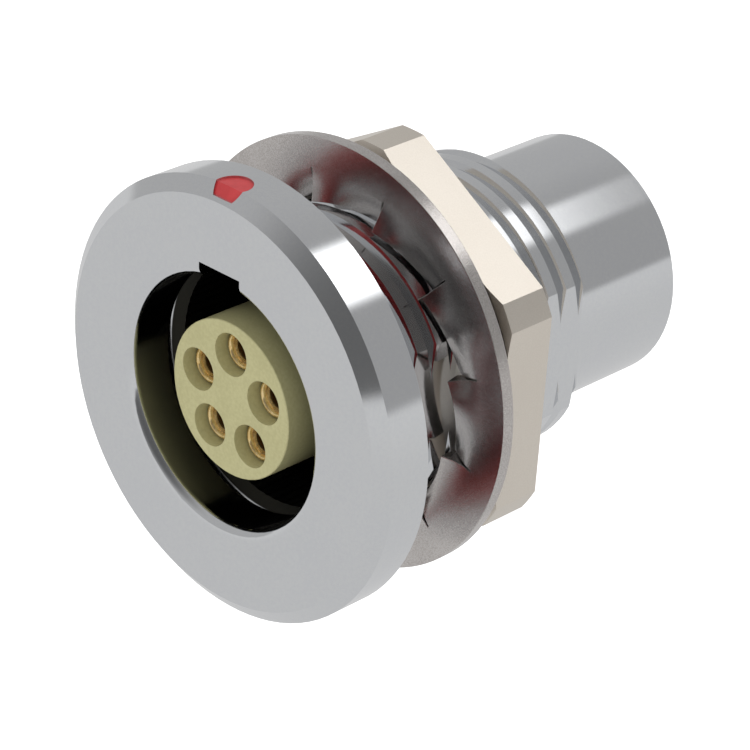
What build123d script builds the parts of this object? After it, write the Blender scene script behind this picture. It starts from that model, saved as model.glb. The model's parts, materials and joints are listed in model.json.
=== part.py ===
from build123d import *
import math
import os

# Panel socket of a circular push-pull connector, in millimetres.
# The Y axis is the connector's axis and runs to the rear. Z is up, through the key and the dot.
# The origin is where the axis meets the face of the panel, the rear face of the flange.

# Flange
flange_d = 17.4
flange_t = 2.17
flange_bevel_r = 0.59
flange_bevel_y = 0.46

# Threaded barrel and smooth rear sleeve
thread_d = 12.0
thread_pitch = 1.0
thread_depth = 0.46
thread_crest = 0.50
thread_flank_deg = 30.0
thread_start_deg = 182.0
thread_end_y = 11.60
thread_bevel = 0.05
relief_y = 1.30
relief_w = 0.83
flats_across = 10.8
sleeve_d = 10.04
shell_end_y = 17.62
sleeve_bevel = 0.06

# Bores of the shell
mouth_d = 9.9
mouth_round = 0.38
latch_depth = 0.45
latch_groove_y = -0.20
latch_groove_w = 0.80
lip_y = 6.60
lip_t = 0.80
lip_d = 6.80
rear_wall = 0.65
key_w = 2.15
key_height = 5.44
key_depth = 2.00

# Red alignment dot on the edge of the flange
dot_d = 1.45
dot_y = -1.51
dot_floor = 0.45
dot_sunk = 0.07

# Panel seal in the rear face of the flange
seal_section = 1.30
seal_groove_w = 1.62
seal_groove_depth = 0.80

# Lock washer with twisted internal teeth
washer_y = 3.98
washer_inset = 0.10
washer_t = 0.52
washer_bore_d = 12.30
tooth_share = 0.49
tooth_seat = 0.35
tooth_t = 0.50
tooth_count = 12
tooth_first_deg = 1.3
tooth_twist_deg = 18.0
tooth_steps = 5
tooth_slot_deg = 1.20
tooth_reach = 2.0

# Hexagon nut
nut_y = 5.00
nut_t = 2.25
nut_across = 15.15
nut_turned_d = 16.88
nut_face_d = 16.20
nut_bevel_deg = 20.6
nut_corner_deg = 62.0
nut_bore_bevel = 0.35

# Insulating insert in two halves
insert_face_y = -1.54
insert_d = 6.26
insert_flange_t = 1.50
insert_rear_t = 2.50
insert_edge = 0.03
insert_seal_section = 0.60
insert_groove_w = 0.80

# Contacts
contact_count = 5
contact_circle_d = 3.72
contact_hole_d = 1.70
contact_d = 1.56
contact_recess = 0.62
contact_lip_bore_d = 0.96
contact_lip_t = 0.34
contact_lead = 0.16
contact_lead_r = 0.10
contact_bore_d = 1.20
contact_bore_depth = 4.20
collar_d = 1.90
collar_t = 1.20
contact_tail = 1.40
cup_bore_d = 1.00
cup_depth = 2.40
cup_open = 1.60

# Slotted spring clip inside each contact
clip_wall = 0.10
clip_length = 3.20
clip_ring = 0.80
clip_close = 0.08
clip_slot = 0.20
clip_slots = 4

# Earthing crown round the mating space
crown_wall = 0.22
crown_ring = 0.60
crown_finger = 1.40
crown_bow = 0.20
crown_slot = 0.45
crown_slots = 12

# Threaded retaining ring and rear sealing resin
ring_t = 1.20
ring_wall = 1.15
ring_slot_w = 0.90
ring_slot_depth = 0.50
resin_sunk = 0.30
resin_dish = 0.25

# Clearances, and how far a cutter runs past what it cuts
slip = 0.03
thread_slip = 0.04
past = 1.0

# Places that follow from the sizes above
flange_r = flange_d / 2
thread_r = thread_d / 2
thread_root_r = thread_r - thread_depth
washer_d = flange_d - 2 * washer_inset
washer_bore_r = washer_bore_d / 2
tooth_root_r = washer_bore_r + tooth_share * (washer_d / 2 - washer_bore_r)
rear_bore_d = sleeve_d - 2 * rear_wall
ring_bore_d = rear_bore_d - 2 * ring_wall
front_y = -flange_t
lip_rear_y = lip_y + lip_t
joint_y = lip_rear_y + insert_flange_t
insert_end_y = joint_y + insert_rear_t
ring_end_y = insert_end_y + ring_t
contact_front_y = insert_face_y + contact_recess
contact_end_y = shell_end_y + contact_tail
clip_y = contact_front_y + contact_lip_t + slip
across_all = 2 * flange_d


def turned(points):
    """Solid turned about the Y axis from (radius, y) points."""
    face = make_face(Polyline(*points, close=True))
    return revolve(face, Axis.Y)


def rod(diameter, y_start, y_end):
    """Cylinder along the Y axis."""
    middle = Pos(0, (y_start + y_end) / 2, 0)
    return middle * Rot(90, 0, 0) * Cylinder(diameter / 2, y_end - y_start)


def tube(outer_d, inner_d, y_start, y_end):
    """Plain ring along the Y axis."""
    return rod(outer_d, y_start, y_end) - rod(inner_d, y_start - past, y_end + past)


def aroundAxis(angle_deg):
    """Rotation about the Y axis that takes +Z toward +X by the angle."""
    return Rot(0, angle_deg, 0)


def contactPlaces():
    """One location on the contact circle for each contact, the first under the key."""
    step = 360 / contact_count
    lift = Pos(0, 0, contact_circle_d / 2)
    return [aroundAxis(step * number) * lift for number in range(contact_count)]


def atContacts(diameter, y_start, y_end):
    """A rod at every contact place."""
    return [place * rod(diameter, y_start, y_end) for place in contactPlaces()]


def flange():
    """Flange disc with its bevelled front edge and the seal's groove in its rear face."""
    groove_out = thread_r + seal_groove_w
    return turned([
        (0, front_y),
        (flange_r - flange_bevel_r, front_y),
        (flange_r, front_y + flange_bevel_y),
        (flange_r, 0),
        (groove_out, 0),
        (groove_out, -seal_groove_depth),
        (0, -seal_groove_depth),
    ])


def threadGroove():
    """The V that is cut along the helix, from the relief out past the end of the thread."""
    start_y = relief_y + relief_w / 2
    length = thread_end_y + thread_pitch - start_y
    helix = Helix(thread_pitch, length, thread_r, center=(0, start_y, 0), direction=(0, 1, 0))
    start = helix @ 0
    outward = Vector(start.X, 0, start.Z).normalized()
    over = thread_depth / 2
    mouth_half = (thread_pitch - thread_crest) / 2
    over_half = mouth_half + over * math.tan(math.radians(thread_flank_deg))
    section = Plane(origin=start, x_dir=outward, z_dir=helix % 0)
    outline = Polygon((-thread_depth, 0), (over, over_half), (over, -over_half), align=None)
    groove = sweep(section * outline, path=helix, is_frenet=True)
    return aroundAxis(thread_start_deg) * groove


def threadedBarrel():
    """Barrel with its helical thread, cut in a longer blank, and a flat on each side."""
    blank_start = -seal_groove_depth - key_depth / 2
    blank = rod(thread_d, blank_start, thread_end_y + 3 * thread_pitch)
    barrel = blank - threadGroove()
    barrel -= tube(thread_d + past, 2 * thread_root_r, relief_y, relief_y + relief_w)
    barrel &= turned([
        (0, blank_start),
        (thread_r + past, blank_start),
        (thread_r + past, thread_end_y - thread_bevel - past),
        (thread_r - thread_bevel, thread_end_y),
        (0, thread_end_y),
    ])
    side = (flats_across + thread_d) / 2
    for direction in (1, -1):
        middle = Pos(direction * side, thread_end_y / 2, 0)
        barrel -= middle * Box(thread_d, thread_end_y, across_all)
    return barrel


def sleeve():
    """Smooth sleeve behind the thread, with a bevelled rear edge."""
    sleeve_r = sleeve_d / 2
    return turned([
        (0, thread_end_y - thread_pitch),
        (sleeve_r, thread_end_y - thread_pitch),
        (sleeve_r, shell_end_y - sleeve_bevel),
        (sleeve_r - sleeve_bevel, shell_end_y),
        (0, shell_end_y),
    ])


def shellBore():
    """Everything bored out of the shell from both ends."""
    mouth_r = mouth_d / 2
    latch_r = mouth_r + latch_depth
    latch_end = latch_groove_y + latch_groove_w
    return turned([
        (0, front_y - past),
        (mouth_r, front_y - past),
        (mouth_r, latch_groove_y),
        (latch_r, latch_groove_y),
        (latch_r, latch_end - latch_depth),
        (mouth_r, latch_end),
        (mouth_r, lip_y),
        (lip_d / 2, lip_y),
        (lip_d / 2, lip_rear_y),
        (rear_bore_d / 2, lip_rear_y),
        (rear_bore_d / 2, shell_end_y + past),
        (0, shell_end_y + past),
    ])


def mouthRounding():
    """Material removed to round the edge of the mouth."""
    mouth_r = mouth_d / 2
    outline = [
        Line((mouth_r, front_y + mouth_round), (mouth_r, front_y)),
        Line((mouth_r, front_y), (mouth_r + mouth_round, front_y)),
        RadiusArc((mouth_r + mouth_round, front_y), (mouth_r, front_y + mouth_round), mouth_round),
    ]
    return revolve(make_face(outline), Axis.Y)


def shell():
    """Turned shell with its thread, flats, keyway and dot recess."""
    body = flange() + threadedBarrel() + sleeve()
    body -= shellBore()
    body -= mouthRounding()
    keyway = Pos(0, front_y + key_depth / 2, key_height / 2)
    body -= keyway * Box(key_w, key_depth, key_height)
    body -= dotDrill()
    return body


def dotDrill():
    """Round recess drilled down into the edge of the flange."""
    top = flange_r + past
    floor = flange_r - dot_floor
    return Pos(0, dot_y, (top + floor) / 2) * Cylinder(dot_d / 2, top - floor)


def alignmentDot():
    """Red enamel in the recess, following the edge of the flange a little below it."""
    fill_r = flange_r - dot_sunk
    edge_y = front_y + flange_bevel_y + dot_sunk / 2
    inner = flange_r - dot_floor - past
    slope = flange_bevel_y / flange_bevel_r
    below = turned([
        (inner, edge_y - slope * (fill_r - inner)),
        (fill_r, edge_y),
        (fill_r, 0),
        (inner, 0),
    ])
    return dotDrill() & below


def panelSeal():
    """O-ring that lies in the flange's groove and stands out of it."""
    ring_r = thread_r + seal_groove_w / 2
    centre_y = seal_section / 2 + slip - seal_groove_depth
    return Pos(0, centre_y, 0) * Rot(90, 0, 0) * Torus(ring_r, seal_section / 2)


def washerTooth(tooth_deg):
    """One tooth, twisted more and more toward its tip, its first edge to the front."""
    half_deg = 180 / tooth_count - tooth_slot_deg / 2
    half_slope = math.tan(math.radians(half_deg))
    tip_r = washer_bore_r - washer_t / 2
    middle_y = washer_y + washer_t / 2
    stations = [(tooth_root_r + tooth_seat, 0)]
    for number in range(tooth_steps + 1):
        share = number / tooth_steps
        stations.append((tooth_root_r + share * (tip_r - tooth_root_r), share ** 2 * tooth_twist_deg))
    sections = []
    for radius, twist in stations:
        across = 2 * radius * half_slope
        place = Plane(origin=(0, middle_y, radius), x_dir=(1, 0, 0), z_dir=(0, 0, 1))
        sections.append(place * Rot(0, 0, twist) * Rectangle(across, tooth_t))
    return aroundAxis(tooth_deg) * loft(sections, ruled=True)


def lockWasher():
    """Flat ring whose inside is cut into teeth that are twisted out of its plane."""
    washer = tube(washer_d, 2 * tooth_root_r, washer_y, washer_y + washer_t)
    step = 360 / tooth_count
    for number in range(tooth_count):
        washer += washerTooth(tooth_first_deg + step * number)
    return washer - rod(washer_bore_d, washer_y - tooth_reach, washer_y + tooth_reach)


def hexNut():
    """Hexagon nut, turned at its corners and bevelled on the side of the panel."""
    nut_end = nut_y + nut_t
    middle_y = nut_y + nut_t / 2
    hexagon = RegularPolygon(nut_across / 2, 6, major_radius=False)
    upright = Pos(0, middle_y, 0) * Rot(90, 0, 0)
    prism = upright * extrude(hexagon, nut_t / 2, both=True)
    prism = aroundAxis(nut_corner_deg - 90) * prism
    corner_r = nut_turned_d / 2
    face_r = nut_face_d / 2
    bevel_y = (corner_r - face_r) * math.tan(math.radians(nut_bevel_deg))
    turned_shape = turned([
        (0, nut_y),
        (face_r, nut_y),
        (corner_r, nut_y + bevel_y),
        (corner_r, nut_end),
        (0, nut_end),
    ])
    bore_r = thread_r + thread_slip
    wide_r = bore_r + nut_bore_bevel
    bore = turned([
        (0, nut_y - past),
        (wide_r, nut_y - past),
        (wide_r, nut_y),
        (bore_r, nut_y + nut_bore_bevel),
        (bore_r, nut_end - nut_bore_bevel),
        (wide_r, nut_end),
        (wide_r, nut_end + past),
        (0, nut_end + past),
    ])
    return (prism & turned_shape) - bore


def insertFront():
    """Front insulator: the nose that the plug slides over, and the flange behind the lip."""
    nose_r = insert_d / 2
    flange_outer = rear_bore_d / 2 - slip
    groove_r = rear_bore_d / 2 - insert_seal_section - slip
    groove_start = lip_rear_y + (insert_flange_t - insert_groove_w) / 2
    groove_end = groove_start + insert_groove_w
    body = turned([
        (0, insert_face_y),
        (nose_r - insert_edge, insert_face_y),
        (nose_r, insert_face_y + insert_edge),
        (nose_r, lip_rear_y),
        (flange_outer, lip_rear_y),
        (flange_outer, groove_start),
        (groove_r, groove_start),
        (groove_r, groove_end),
        (flange_outer, groove_end),
        (flange_outer, joint_y),
        (0, joint_y),
    ])
    holes = atContacts(contact_hole_d, insert_face_y - past, joint_y + past)
    seats = atContacts(collar_d + 2 * slip, joint_y - collar_t / 2, joint_y + past)
    return body - holes - seats


def insertRear():
    """Rear insulator, which traps the collars of the contacts."""
    body = rod(rear_bore_d - 2 * slip, joint_y, insert_end_y)
    holes = atContacts(contact_d + 2 * slip, joint_y - past, insert_end_y + past)
    seats = atContacts(collar_d + 2 * slip, joint_y - past, joint_y + collar_t / 2)
    return body - holes - seats


def insertSeal():
    """Small O-ring between the insert and the shell."""
    section_r = insert_seal_section / 2
    ring_r = rear_bore_d / 2 - section_r - slip / 2
    centre_y = lip_rear_y + insert_flange_t / 2
    return Pos(0, centre_y, 0) * Rot(90, 0, 0) * Torus(ring_r, section_r)


def contact():
    """Turned socket contact on the Y axis, with a solder cup at its rear end."""
    outer_r = contact_d / 2
    lip_r = contact_lip_bore_d / 2
    bore_r = contact_bore_d / 2
    collar_r = collar_d / 2
    lip_end = contact_front_y + contact_lip_t
    bore_end = lip_end + contact_bore_depth
    cup_floor = contact_end_y - cup_depth
    cup_r = cup_bore_d / 2
    body = turned([
        (lip_r + contact_lead_r, contact_front_y),
        (outer_r, contact_front_y),
        (outer_r, joint_y - collar_t / 2),
        (collar_r, joint_y - collar_t / 2),
        (collar_r, joint_y + collar_t / 2),
        (outer_r, joint_y + collar_t / 2),
        (outer_r, contact_end_y),
        (cup_r, contact_end_y),
        (cup_r, cup_floor),
        (0, cup_floor - cup_r / 2),
        (0, bore_end + bore_r / 2),
        (bore_r, bore_end),
        (bore_r, lip_end),
        (lip_r, lip_end),
        (lip_r, contact_front_y + contact_lead),
    ])
    opening = Pos(0, contact_end_y - cup_open / 2, outer_r)
    return body - opening * Box(contact_d + past, cup_open, contact_d)


def contactClip():
    """Spring clip: a slotted sleeve whose fingers close a little on the pin."""
    outer_r = contact_bore_d / 2 - slip
    inner_r = outer_r - clip_wall
    finger_end = clip_y + clip_length - clip_ring
    sleeve = turned([
        (inner_r - clip_close, clip_y),
        (outer_r - clip_close, clip_y),
        (outer_r, finger_end),
        (outer_r, clip_y + clip_length),
        (inner_r, clip_y + clip_length),
        (inner_r, finger_end),
    ])
    slot_length = finger_end - clip_y + past
    slot = Pos(0, finger_end - slot_length / 2, outer_r)
    for number in range(clip_slots):
        cutter = slot * Box(clip_slot, slot_length, 2 * outer_r)
        sleeve -= aroundAxis(360 * number / clip_slots + 180 / clip_slots) * cutter
    return sleeve


def earthingCrown():
    """Springy crown at the bottom of the mating space, whose fingers bow inward."""
    outer_r = mouth_d / 2 - slip
    ring_y = lip_y - crown_ring
    tip_y = ring_y - crown_finger
    bow_y = ring_y - crown_finger / 2
    inner_r = outer_r - crown_wall
    outline = [
        Line((inner_r, lip_y), (outer_r, lip_y)),
        Line((outer_r, lip_y), (outer_r, ring_y)),
        ThreePointArc((outer_r, ring_y), (outer_r - crown_bow, bow_y), (outer_r, tip_y)),
        Line((outer_r, tip_y), (inner_r, tip_y)),
        ThreePointArc((inner_r, tip_y), (inner_r - crown_bow, bow_y), (inner_r, ring_y)),
        Line((inner_r, ring_y), (inner_r, lip_y)),
    ]
    crown = revolve(make_face(outline), Axis.Y)
    slot_length = crown_finger + past
    slot = Pos(0, ring_y - slot_length / 2, outer_r)
    for number in range(crown_slots):
        cutter = slot * Box(crown_slot, slot_length, outer_r)
        crown -= aroundAxis(360 * (number + 0.5) / crown_slots) * cutter
    return crown


def retainingRing():
    """Ring screwed in from the rear against the insert, with two slots for its driver."""
    ring = tube(rear_bore_d - 2 * slip, ring_bore_d, insert_end_y, ring_end_y)
    slot = Pos(0, ring_end_y - ring_slot_depth / 2, 0)
    return ring - slot * Box(ring_slot_w, ring_slot_depth, across_all)


def rearResin():
    """Cast resin that closes the rear of the shell round the contacts."""
    outer_r = rear_bore_d / 2 - slip
    inner_r = ring_bore_d / 2 - slip
    end_y = shell_end_y - resin_sunk
    body = turned([
        (0, insert_end_y),
        (inner_r, insert_end_y),
        (inner_r, ring_end_y),
        (outer_r, ring_end_y),
        (outer_r, end_y),
        (0, end_y),
    ])
    dish_r = (outer_r ** 2 + resin_dish ** 2) / (2 * resin_dish)
    body -= Pos(0, end_y - resin_dish + dish_r, 0) * Sphere(dish_r)
    return body - atContacts(contact_d + slip, insert_end_y - past, shell_end_y)


def allNodes():
    """Every piece by its name."""
    nodes = {
        "shell": shell(),
        "alignment_dot": alignmentDot(),
        "panel_seal": panelSeal(),
        "lock_washer": lockWasher(),
        "hex_nut": hexNut(),
        "insert_front": insertFront(),
        "insert_rear": insertRear(),
        "insert_seal": insertSeal(),
        "earthing_crown": earthingCrown(),
        "retaining_ring": retainingRing(),
        "rear_resin": rearResin(),
    }
    for number, place in enumerate(contactPlaces(), start=1):
        nodes[f"contact_{number}"] = place * contact()
        nodes[f"contact_clip_{number}"] = place * contactClip()
    return nodes


def main():
    os.makedirs("parts", exist_ok=True)
    for name, shape in allNodes().items():
        export_step(shape, f"parts/{name}.step")
        print(name, round(shape.volume, 3))


main()
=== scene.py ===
import bmesh
import bpy
import json
import math
from mathutils import Matrix, Vector


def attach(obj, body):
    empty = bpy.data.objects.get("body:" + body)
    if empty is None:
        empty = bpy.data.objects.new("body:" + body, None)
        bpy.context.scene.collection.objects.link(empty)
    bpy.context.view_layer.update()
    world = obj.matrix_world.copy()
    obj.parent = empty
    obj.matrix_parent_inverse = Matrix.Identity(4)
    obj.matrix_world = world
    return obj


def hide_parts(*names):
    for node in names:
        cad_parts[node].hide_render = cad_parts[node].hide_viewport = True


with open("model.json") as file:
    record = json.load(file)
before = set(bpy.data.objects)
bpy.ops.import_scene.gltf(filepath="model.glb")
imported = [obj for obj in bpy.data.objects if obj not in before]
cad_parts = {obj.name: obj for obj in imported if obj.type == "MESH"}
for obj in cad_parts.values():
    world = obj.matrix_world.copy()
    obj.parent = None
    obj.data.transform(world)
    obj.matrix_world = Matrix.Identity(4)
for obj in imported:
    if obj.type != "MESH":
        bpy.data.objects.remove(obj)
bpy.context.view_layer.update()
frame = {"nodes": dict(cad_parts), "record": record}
nodes = frame["nodes"]
mm = 0.001

# panel socket of a push-pull connector
# Y is the connector's axis and runs to the rear, Z is up through the key and the dot


class Wire:  # a socket that can be used in sums
    def __init__(self, finish, socket):
        self.finish = finish
        self.socket = socket

    def sum(self, operation, first, second):
        return self.finish.add("ShaderNodeMath", {"operation": operation}, {0: first, 1: second})

    def __add__(self, other):
        return self.sum("ADD", self, other)

    def __radd__(self, other):
        return self.sum("ADD", other, self)

    def __sub__(self, other):
        return self.sum("SUBTRACT", self, other)

    def __rsub__(self, other):
        return self.sum("SUBTRACT", other, self)

    def __mul__(self, other):
        return self.sum("MULTIPLY", self, other)

    def __pow__(self, other):
        return self.sum("POWER", self, other)


class Finish:  # the node tree of one material, or of the world
    def __init__(self, tree):
        self.tree = tree
        tree.nodes.clear()

    def feed(self, socket, value):
        if isinstance(value, Wire):
            self.tree.links.new(value.socket, socket)
        elif hasattr(socket.default_value, "__len__") and len(value) == 3 and len(socket.default_value) == 4:
            socket.default_value = (*value, 1)
        else:
            socket.default_value = value

    def add(self, kind, settings=None, inputs=None, output=0):
        made = self.tree.nodes.new(kind)
        for name, value in (settings or {}).items():
            setattr(made, name, value)
        for name, value in (inputs or {}).items():
            self.feed(made.inputs[name], value)
        return Wire(self, made.outputs[output])

    def blend(self, factor, first, second, how="MIX"):  # colours
        settings = {"data_type": "RGBA", "blend_type": how}
        return self.add("ShaderNodeMix", settings, {0: factor, 6: first, 7: second}, 2)

    def step(self, value, low, high, start=0.0, end=1.0):  # a soft step from start to end
        settings = {"interpolation_type": "SMOOTHSTEP"}
        return self.add("ShaderNodeMapRange", settings, {0: value, 1: low, 2: high, 3: start, 4: end})

    def noise(self, where, scale, detail):
        return self.add("ShaderNodeTexNoise", None, {"Vector": where, "Scale": scale, "Detail": detail})

    def relief(self, height, strength):
        inputs = {"Strength": strength, "Distance": 0.01 * mm, "Height": height}
        return self.add("ShaderNodeBump", None, inputs)

    def principled(self, inputs):
        return self.add("ShaderNodeBsdfPrincipled", None, inputs)


def addPiece(name, shape, material):  # an object from a finished bmesh, smooth shaded
    for face in shape.faces:
        face.smooth = True
    mesh = bpy.data.meshes.new(name)
    shape.to_mesh(mesh)
    shape.free()
    mesh.materials.append(material)
    piece = bpy.data.objects.new(name, mesh)
    bpy.context.scene.collection.objects.link(piece)
    return piece


def makeFinish(name):
    material = bpy.data.materials.new(name)
    material.use_nodes = True
    return material, Finish(material.node_tree)


def closeFinish(finish, surface):
    output = finish.tree.nodes.new("ShaderNodeOutputMaterial")
    finish.tree.links.new(surface.socket, output.inputs["Surface"])


def onPart(finish):  # a point's place on the part, its distance from the axis and its place along it
    place = finish.add("ShaderNodeTexCoord", None, None, "Object")
    x = finish.add("ShaderNodeSeparateXYZ", None, {0: place}, 0)
    y = finish.add("ShaderNodeSeparateXYZ", None, {0: place}, 1)
    z = finish.add("ShaderNodeSeparateXYZ", None, {0: place}, 2)
    radius = (x * x + z * z) ** 0.5
    return place, radius, y


print("camera")

view = {
    "target": (0.00085074, 0.0051379, -0.00094254),
    "distance": 0.1181316,
    "azimuth": 44.4318,  # this and the next two in degrees
    "elevation": 27.8114,
    "roll": 2.1771,
    "lens": 148.94,
    "sensor": 36,
    "nearest": 0.01,
    "farthest": 5,
}


def placeCamera():
    data = bpy.data.cameras.new("camera")
    data.lens = view["lens"]
    data.sensor_width = view["sensor"]
    data.clip_start = view["nearest"]
    data.clip_end = view["farthest"]
    camera = bpy.data.objects.new("camera", data)
    bpy.context.scene.collection.objects.link(camera)
    around = Matrix.Rotation(math.radians(view["azimuth"]), 4, "Z")
    tilted = Matrix.Rotation(math.radians(90 - view["elevation"]), 4, "X")
    rolled = Matrix.Rotation(math.radians(view["roll"]), 4, "Z")
    turn = around @ tilted @ rolled
    back = turn.to_3x3() @ Vector((0, 0, 1))
    place = Vector(view["target"]) + back * view["distance"]
    camera.matrix_world = Matrix.Translation(place) @ turn
    bpy.context.scene.camera = camera


placeCamera()
bpy.context.scene.view_settings.view_transform = "Standard"

print("studio")

studio = {
    "ground": 0.66,  # what the metal mirrors from below the horizon
    "nearHorizon": 0.05,
    "skyLeft": 0.49,
    "skyRight": 0.40,
    "skyFront": 0.12,
    "front": (0.612, -0.592, 0.524),  # where the sky is darkest
    "stripFrom": 4.0,  # round the connector's axis, in degrees from the top to the right
    "stripTo": 33.0,
    "stripSoft": 5.0,
    "stripStart": (0.35, 0.45),  # how far to the rear the strip begins and ends
    "stripEnd": (0.71, 0.64),
    "stripPower": 2.2,
    "horizonSoft": 0.04,
    "softLevel": 0.95,  # what lights the plastics
    "floorHeight": -0.06,
    "floorSize": 3.0,
    "floorColour": (0.9, 0.9, 0.9),
    "floorGlow": 0.5,
}


def buildWorld():
    world = bpy.data.worlds.new("studio")
    bpy.context.scene.world = world
    world.use_nodes = True
    finish = Finish(world.node_tree)
    toward = finish.add("ShaderNodeTexCoord", None, None, "Generated")
    toward = finish.add("ShaderNodeVectorMath", {"operation": "NORMALIZE"}, {0: toward})
    right = finish.add("ShaderNodeSeparateXYZ", None, {0: toward}, 0)
    back = finish.add("ShaderNodeSeparateXYZ", None, {0: toward}, 1)
    height = finish.add("ShaderNodeSeparateXYZ", None, {0: toward}, 2)
    forward = finish.add("ShaderNodeVectorMath", {"operation": "DOT_PRODUCT"},
                         {0: toward, 1: studio["front"]}, 1)
    dark = finish.step(forward, 0.3, 1.0)
    leftShare = finish.step(right, 0.3, -0.5)
    sky = leftShare * (studio["skyLeft"] - studio["skyRight"]) + studio["skyRight"]
    sky = sky * (1 - dark) + dark * studio["skyFront"]
    turn = right.sum("ARCTAN2", right, height) * (180 / math.pi)
    soft = studio["stripSoft"]
    strip = finish.step(turn, studio["stripFrom"] - soft, studio["stripFrom"] + soft)
    strip = strip * finish.step(turn, studio["stripTo"] + soft, studio["stripTo"] - soft)
    strip = strip * finish.step(back, *studio["stripStart"]) * finish.step(back, *studio["stripEnd"])
    sky = sky + strip * studio["stripPower"]
    below = finish.step(height, studio["horizonSoft"], -studio["horizonSoft"])
    ground = finish.step(height, -0.5, 0.0) * studio["nearHorizon"] + studio["ground"]
    mirrored = sky * (1 - below) + below * ground
    glossy = finish.add("ShaderNodeLightPath", None, None, "Is Glossy Ray")
    seen = finish.add("ShaderNodeLightPath", None, None, "Is Camera Ray")
    level = mirrored * glossy + (1 - glossy) * studio["softLevel"]
    level = level * (1 - seen) + seen
    background = finish.add("ShaderNodeBackground", None, {"Color": (1, 1, 1), "Strength": level})
    output = finish.tree.nodes.new("ShaderNodeOutputWorld")
    finish.tree.links.new(background.socket, output.inputs["Surface"])


def buildFloor():
    half = studio["floorSize"] / 2
    height = studio["floorHeight"]
    mesh = bpy.data.meshes.new("floor")
    corners = [(x * half, y * half, height) for x, y in ((-1, -1), (1, -1), (1, 1), (-1, 1))]
    mesh.from_pydata(corners, [], [(0, 1, 2, 3)])
    floor = bpy.data.objects.new("floor", mesh)
    bpy.context.scene.collection.objects.link(floor)
    material, finish = makeFinish("pale floor")
    paint = finish.principled({"Base Color": studio["floorColour"], "Roughness": 0.9})
    glow = finish.add("ShaderNodeEmission", None, {"Color": (1, 1, 1), "Strength": studio["floorGlow"]})
    both = finish.add("ShaderNodeAddShader", None, {0: paint, 1: glow})
    seen = finish.add("ShaderNodeLightPath", None, None, "Is Camera Ray")
    closeFinish(finish, finish.add("ShaderNodeMixShader", None, {0: seen, 1: paint, 2: both}))
    mesh.materials.append(material)
    floor.visible_glossy = False


buildWorld()
buildFloor()

print("finishes")

# turned, grain and relief are strengths, fineness is in cycles per metre and other lengths are in metres
cloudSize = 350
plasticCloudSize = 600
# soft edge of the painted shade in the bores and the groove
boreShadeSoft = 0.02 * mm

chrome = {
    "colour": (0.72, 0.73, 0.74), "roughness": 0.10, "turned": 0.04, "grain": 0.01, "relief": 0.01,
    "shade": (0.70, 0.71, 0.73), "fineness": 9000,
    # the bore and groove keys mark where the chrome is painted dark as shade, deep in the mating space and in
    # its latch groove
    "bore": 0.0053, "boreFrom": -0.0004, "boreTo": 0.0030, "boreEnd": 0.0110,
    "boreShadeColour": (0.030, 0.029, 0.024), "groove": 0.00494, "grooveFrom": -0.0003,
}
nickel = {
    "colour": (0.82, 0.76, 0.68), "roughness": 0.36, "turned": 0.0, "grain": 0.10, "relief": 0.10,
    "shade": (0.78, 0.72, 0.64), "fineness": 20000,
}
washerNickel = {
    "colour": (0.68, 0.65, 0.63), "roughness": 0.22, "turned": 0.0, "grain": 0.14, "relief": 0.30,
    "shade": (0.50, 0.47, 0.45), "fineness": 26000,
}
crownNickel = {
    "colour": (0.10, 0.10, 0.09), "roughness": 0.55, "turned": 0.0, "grain": 0.10, "relief": 0.10,
    "shade": (0.07, 0.07, 0.06), "fineness": 6000,
}
gold = {
    "colour": (1.0, 0.78, 0.42), "roughness": 0.14, "turned": 0.08, "grain": 0.04, "relief": 0.05,
    "shade": (0.86, 0.60, 0.24), "fineness": 9000, "metallic": 0.75,
    # the bore keys mark where the gold is painted dark as shade, deep in the contacts' throats
    "bore": 0.00300, "boreFrom": -0.00095, "boreTo": -0.00062, "boreEnd": 0.0060,
    "boreShadeColour": (0.16, 0.07, 0.015),
}
enamel = {"colour": (0.60, 0.035, 0.040), "shade": (0.52, 0.025, 0.030), "roughness": 0.45, "gloss": 0.2,
          "grain": 0.08, "relief": 0.08, "fineness": 2600}
sealRubber = {"colour": (0.40, 0.03, 0.03), "shade": (0.32, 0.02, 0.02), "roughness": 0.45, "gloss": 0.0,
              "grain": 0.12, "relief": 0.15, "fineness": 5000}
plastic = {"colour": (0.55, 0.52, 0.27), "shade": (0.49, 0.46, 0.23), "roughness": 0.48, "gloss": 0.0,
           "grain": 0.14, "relief": 0.20, "fineness": 8000,
           # the side keys paint shade on the insert's side, darker toward the rear where the shell shades it
           "sideShadeFrom": -0.00150, "sideShadeTo": 0.0010, "side": (0.20, 0.185, 0.095)}
darkRubber = {"colour": (0.014, 0.014, 0.015), "shade": (0.009, 0.009, 0.010), "roughness": 0.5, "gloss": 0.0,
              "grain": 0.12, "relief": 0.20, "fineness": 5000}
resin = {"colour": (0.014, 0.014, 0.017), "shade": (0.009, 0.009, 0.011), "roughness": 0.22, "gloss": 0.3,
         "grain": 0.10, "relief": 0.25, "fineness": 700}


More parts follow.
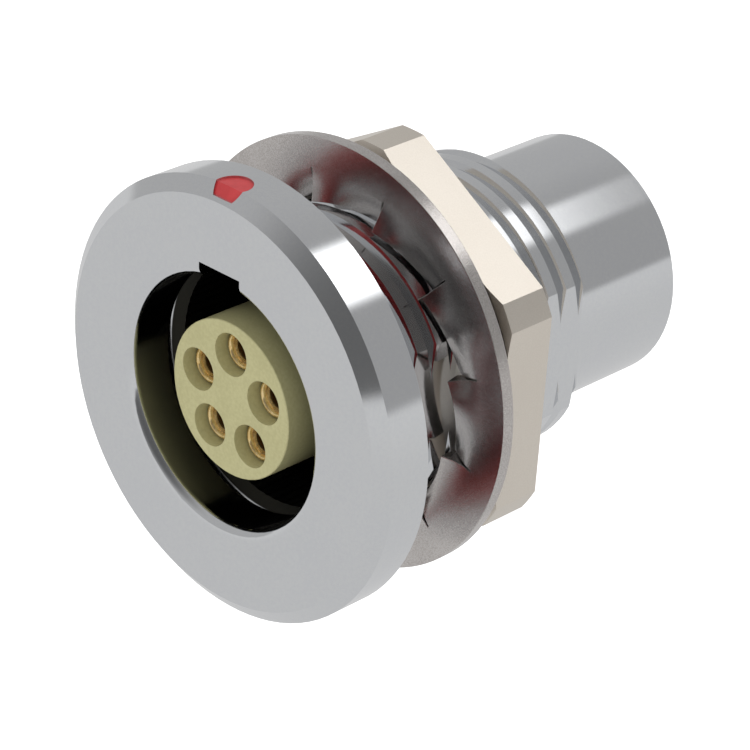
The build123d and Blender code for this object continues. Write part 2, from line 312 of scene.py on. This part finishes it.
def metalFinish(name, look):
    material, finish = makeFinish(name)
    place, radius, y = onPart(finish)
    grain = finish.noise(place, look["fineness"], 3)
    cloud = finish.noise(place, cloudSize, 2)
    rings = finish.add("ShaderNodeCombineXYZ", None, {0: radius, 1: y})
    rings = finish.noise(rings, look["fineness"] * 2, 2)
    mottle = finish.step(grain * 0.7 + cloud * 0.3, 0.62, 0.38)
    colour = finish.blend(mottle, look["colour"], look["shade"])
    rough = look["roughness"] + (rings - 0.5) * look["turned"] + (grain - 0.5) * look["grain"]
    # painted shade: deep in a bore, and in the chrome's groove, the colour is blended toward a dark colour
    # that stands in for the shade there, and made a little rougher
    if "bore" in look:
        boreShade = finish.step(y, look["boreFrom"], look["boreTo"])
        if "groove" in look:
            # the latch groove gets the same painted shade
            groove = finish.step(radius, look["groove"] - boreShadeSoft / 2, look["groove"] + boreShadeSoft / 2)
            groove = groove * finish.step(y, look["grooveFrom"], look["grooveFrom"] + boreShadeSoft * 4)
            boreShade = boreShade.sum("MAXIMUM", boreShade, groove)
        boreShade = boreShade * finish.step(y, look["boreEnd"], look["boreEnd"] - boreShadeSoft * 10)
        boreShade = boreShade * finish.step(radius, look["bore"] + boreShadeSoft, look["bore"] - boreShadeSoft)
        colour = finish.blend(boreShade, colour, look["boreShadeColour"])
        rough = rough + boreShade * 0.25
    closeFinish(finish, finish.principled({
        "Base Color": colour, "Metallic": look.get("metallic", 1.0), "Roughness": rough,
        "Normal": finish.relief(grain, look["relief"])}))
    return material


def plainFinish(name, look):
    material, finish = makeFinish(name)
    place, _, y = onPart(finish)
    grain = finish.noise(place, look["fineness"], 3)
    cloud = finish.noise(place, plasticCloudSize, 2)
    mottle = finish.step(grain * 0.6 + cloud * 0.4, 0.65, 0.35)
    colour = finish.blend(mottle, look["colour"], look["shade"])
    # painted shade: the insert's side darkens toward the rear, deep in the shell
    if "side" in look:
        colour = finish.blend(finish.step(y, look["sideShadeFrom"], look["sideShadeTo"]), colour, look["side"])
    rough = look["roughness"] + (grain - 0.5) * look["grain"]
    closeFinish(finish, finish.principled({
        "Base Color": colour, "Roughness": rough, "Normal": finish.relief(grain, look["relief"]),
        "Coat Weight": look["gloss"], "Coat Roughness": 0.12}))
    return material


finishes = {
    "shell_chrome": metalFinish("satin chrome", chrome),
    "red_enamel": plainFinish("red enamel", enamel),
    "red_rubber": plainFinish("red seal rubber", sealRubber),
    "washer_nickel": metalFinish("rough nickel", washerNickel),
    "nut_nickel": metalFinish("satin nickel", nickel),
    "insert_beige": plainFinish("beige plastic", plastic),
    "dark_rubber": plainFinish("dark rubber", darkRubber),
    "crown_nickel": metalFinish("spring nickel", crownNickel),
    "dark_resin": plainFinish("cast resin", resin),
    "contact_gold": metalFinish("contact gold", gold),
    "clip_gold": metalFinish("clip gold", gold),
}


def dressNodes():
    for part in frame["record"]["subparts"]:
        mesh = nodes[part["node"]].data
        mesh.materials.clear()
        mesh.materials.append(finishes[part["material_slot"]])


dressNodes()

print("washer")

washer = {
    "teeth": 12,
    "firstTooth": 1.3,  # degrees
    "toothShare": 0.985,  # of each tooth's angle, the rest is slot
    "tipRadius": 6.15,  # this and the lengths below in mm
    "rootRadius": 7.35,
    "rimRadius": 8.60,
    "twistRadius": 5.89,
    "frontY": 3.98,
    "thickness": 0.52,
    "twist": 18.0,  # degrees
    "edge": 0.035,
    "columns": 12,  # across a tooth
    "rows": 10,  # from its tip to its root
}


def toothPoint(radius, angle, side, tooth):
    # each tooth twists about its own middle line, more toward its tip
    reach = max(0, (washer["rootRadius"] - radius) / (washer["rootRadius"] - washer["twistRadius"]))
    twist = math.radians(washer["twist"]) * reach ** 2
    across = radius * math.sin(angle)
    rise = side * washer["thickness"] / 2
    y = washer["frontY"] + washer["thickness"] / 2 + across * math.sin(twist) + rise * math.cos(twist)
    across = across * math.cos(twist) - rise * math.sin(twist)
    outward = radius * math.cos(angle)
    turn = math.radians(washer["firstTooth"] + 360 / washer["teeth"] * tooth)
    x = outward * math.sin(turn) + across * math.cos(turn)
    z = outward * math.cos(turn) - across * math.sin(turn)
    return Vector((x, y, z)) * mm


def makeWasher():
    shape = bmesh.new()
    half = math.radians(180 / washer["teeth"])
    columns = washer["columns"]
    rows = washer["rows"]
    reach = washer["rootRadius"] - washer["tipRadius"]
    radii = [washer["tipRadius"] + reach * row / rows for row in range(rows + 1)]
    radii.append(washer["rimRadius"])
    fronts = []
    for tooth in range(washer["teeth"]):
        for column in range(columns + 1):
            angle = half * washer["toothShare"] * (2 * column / columns - 1)
            lines = []
            for side in (-1, 1):
                lines.append([shape.verts.new(toothPoint(radius, angle, side, tooth)) for radius in radii])
            fronts.append(lines)
    count = len(fronts)
    for index in range(count):
        front, rear = fronts[index]
        nextFront, nextRear = fronts[(index + 1) % count]
        gap = index % (columns + 1) == columns
        start = rows if gap else 0
        for row in range(start, rows + 1):
            shape.faces.new((front[row], front[row + 1], nextFront[row + 1], nextFront[row]))
            shape.faces.new((rear[row], nextRear[row], nextRear[row + 1], rear[row + 1]))
        shape.faces.new((front[start], nextFront[start], nextRear[start], rear[start]))
        shape.faces.new((front[-1], rear[-1], nextRear[-1], nextFront[-1]))
        if gap:
            for row in range(rows):
                shape.faces.new((front[row], front[row + 1], rear[row + 1], rear[row]))
                shape.faces.new((nextFront[row], nextRear[row], nextRear[row + 1], nextFront[row + 1]))
    bmesh.ops.recalc_face_normals(shape, faces=shape.faces)
    piece = addPiece("tooth_washer", shape, finishes["washer_nickel"])
    rounding = piece.modifiers.new("edges", "BEVEL")
    rounding.width = washer["edge"] * mm
    rounding.segments = 2
    rounding.limit_method = "ANGLE"
    rounding.angle_limit = math.radians(40)
    rounding.harden_normals = True
    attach(piece, "washer")
    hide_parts("lock_washer")


makeWasher()

print("contact rims")

rim = {
    "contacts": 5,
    "circle": 3.72,  # this and the lengths below in mm
    "seatY": -0.93,
    "seatRadius": 0.765,
    "crownRadius": 0.66,
    "crownHeight": 0.10,
    "throatRadius": 0.46,
    "throatDepth": 0.34,
    "around": 48,
    "crownSteps": 8,
    "throatSteps": 12,
}


def rimProfile():
    # radius and height above the seat, over the crown and down into the throat
    profile = []
    reach = rim["seatRadius"] - rim["crownRadius"]
    narrowing = rim["crownRadius"] - rim["throatRadius"]
    drop = rim["crownHeight"] + rim["throatDepth"]
    for step in range(rim["crownSteps"] + 1):
        angle = math.pi / 2 * step / rim["crownSteps"]
        profile.append((rim["crownRadius"] + reach * math.cos(angle), rim["crownHeight"] * math.sin(angle)))
    for step in range(1, rim["throatSteps"] + 1):
        share = step / rim["throatSteps"]
        profile.append((rim["crownRadius"] - narrowing * share, rim["crownHeight"] - drop * share ** 2))
    return profile


def makeRim(number):
    shape = bmesh.new()
    profile = rimProfile()
    turn = 2 * math.pi * number / rim["contacts"]
    middle = Vector((math.sin(turn), 0, math.cos(turn))) * rim["circle"] / 2
    rings = []
    for radius, height in profile:
        ring = []
        for index in range(rim["around"]):
            angle = 2 * math.pi * index / rim["around"]
            offset = (radius * math.sin(angle), rim["seatY"] - height, radius * math.cos(angle))
            ring.append(shape.verts.new((middle + Vector(offset)) * mm))
        rings.append(ring)
    for outer, inner in zip(rings, rings[1:]):
        for index in range(rim["around"]):
            after = (index + 1) % rim["around"]
            shape.faces.new((outer[index], outer[after], inner[after], inner[index]))
    piece = addPiece(f"contact_rim_{number + 1}", shape, finishes["contact_gold"])
    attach(piece, "socket")


for number in range(rim["contacts"]):
    makeRim(number)
